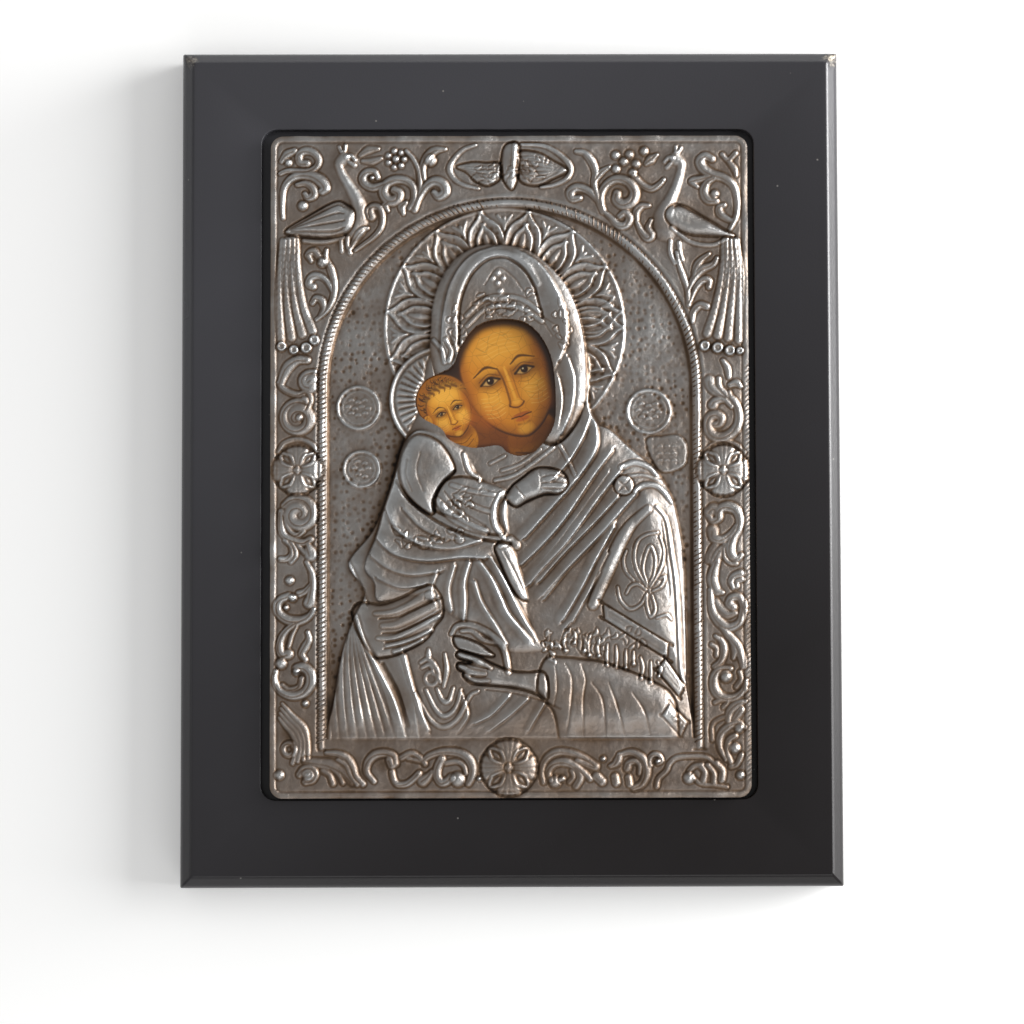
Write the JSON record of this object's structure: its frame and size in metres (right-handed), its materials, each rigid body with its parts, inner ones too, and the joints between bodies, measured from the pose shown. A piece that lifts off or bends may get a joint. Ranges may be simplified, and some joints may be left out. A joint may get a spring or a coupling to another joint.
{
  "type": "icon panel",
  "caption": "Framed devotional panel: an embossed silver cover over a painted panel, sunk in a chamfered lacquered board, lying on its back.",
  "frame": {"origin": "middle of the board's back face", "axes": "+X to the picture's right as seen from the front, +Y to its top, +Z out of its front; the panel lies on its back"},
  "size_m": [0.205, 0.26, 0.0244],
  "materials": {
    "lacquered_wood": "satin black lacquer, lightly dusty, rubbed at its corners",
    "painted_wood": "ochre egg tempera under an aged varnish",
    "oxidised_silver": "embossed silver, polished on its high points, brown-black in its hollows"
  },
  "bodies": {
    "root": {"board": "lacquered_wood", "picture_panel": "painted_wood", "silver_cover": "oxidised_silver"}
  },
  "joints": []
}
